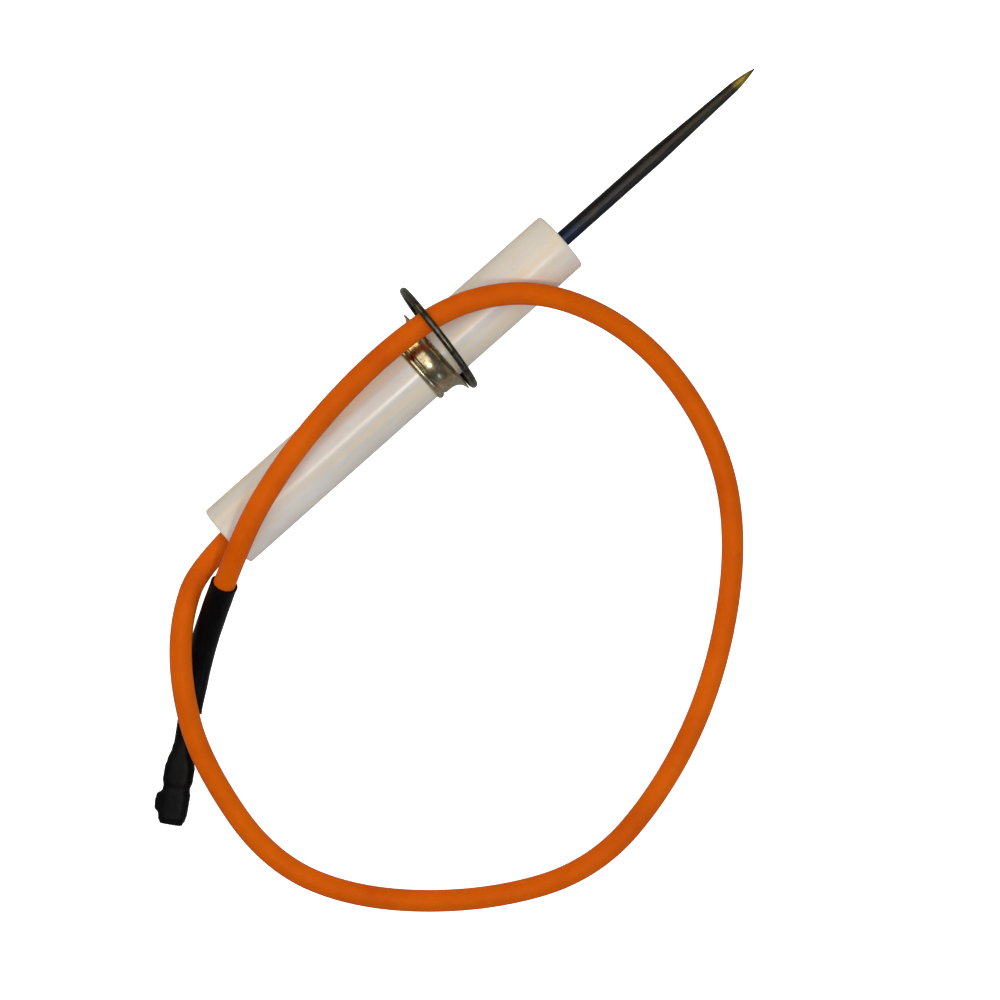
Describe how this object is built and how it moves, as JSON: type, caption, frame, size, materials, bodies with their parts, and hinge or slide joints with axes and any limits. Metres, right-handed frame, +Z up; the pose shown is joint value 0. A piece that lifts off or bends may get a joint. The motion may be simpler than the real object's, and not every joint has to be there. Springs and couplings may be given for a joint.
{
  "type": "flame sensor probe",
  "caption": "Ceramic-insulated electrode with a pointed metal rod, a flared mounting collar, a loose wire ring and a silicone lead with a booted push-on terminal.",
  "frame": {"origin": "centre of the collar's mouth, on the probe's axis; the probe lies on its side on the collar", "axes": "+X along the axis towards the electrode's tip, +Z up, +Y the side that the lead leans to at the collar"},
  "size_m": [0.1708, 0.1026, 0.023],
  "materials": {
    "ceramic": "satin, unglazed to semi-glazed alumina",
    "rod_metal": "heat-oxidised, satin",
    "cement": "matt, grainy",
    "potting": "matt",
    "brass": "satin",
    "copper": "bare stranded copper",
    "nickel": "bright nickel plate",
    "ring_wire": "drawn spring wire, worn",
    "orange_silicone": "smooth satin silicone",
    "black_shrink": "satin heat-shrink tube",
    "black_boot": "soft moulded vinyl",
    "tinned_brass": "tin-plated brass strip"
  },
  "bodies": {
    "root": {"ceramic_insulator": "ceramic", "electrode_rod": "rod_metal", "front_cement": "cement", "rear_potting": "potting", "joint_ferrule": "brass", "conductor_probe_end": "copper", "mounting_collar": "nickel", "lead_cable": "orange_silicone", "heat_shrink_sleeve": "black_shrink", "terminal_boot": "black_boot", "tab_receptacle": "tinned_brass", "conductor_terminal_end": "copper"},
    "ring": {"retaining_ring": "ring_wire"}
  },
  "joints": [
    {"name": "ring_slide", "type": "slide", "parent": "root", "child": "ring", "axis": [1, 0, 0], "range_m": [0, 0.01]}
  ]
}
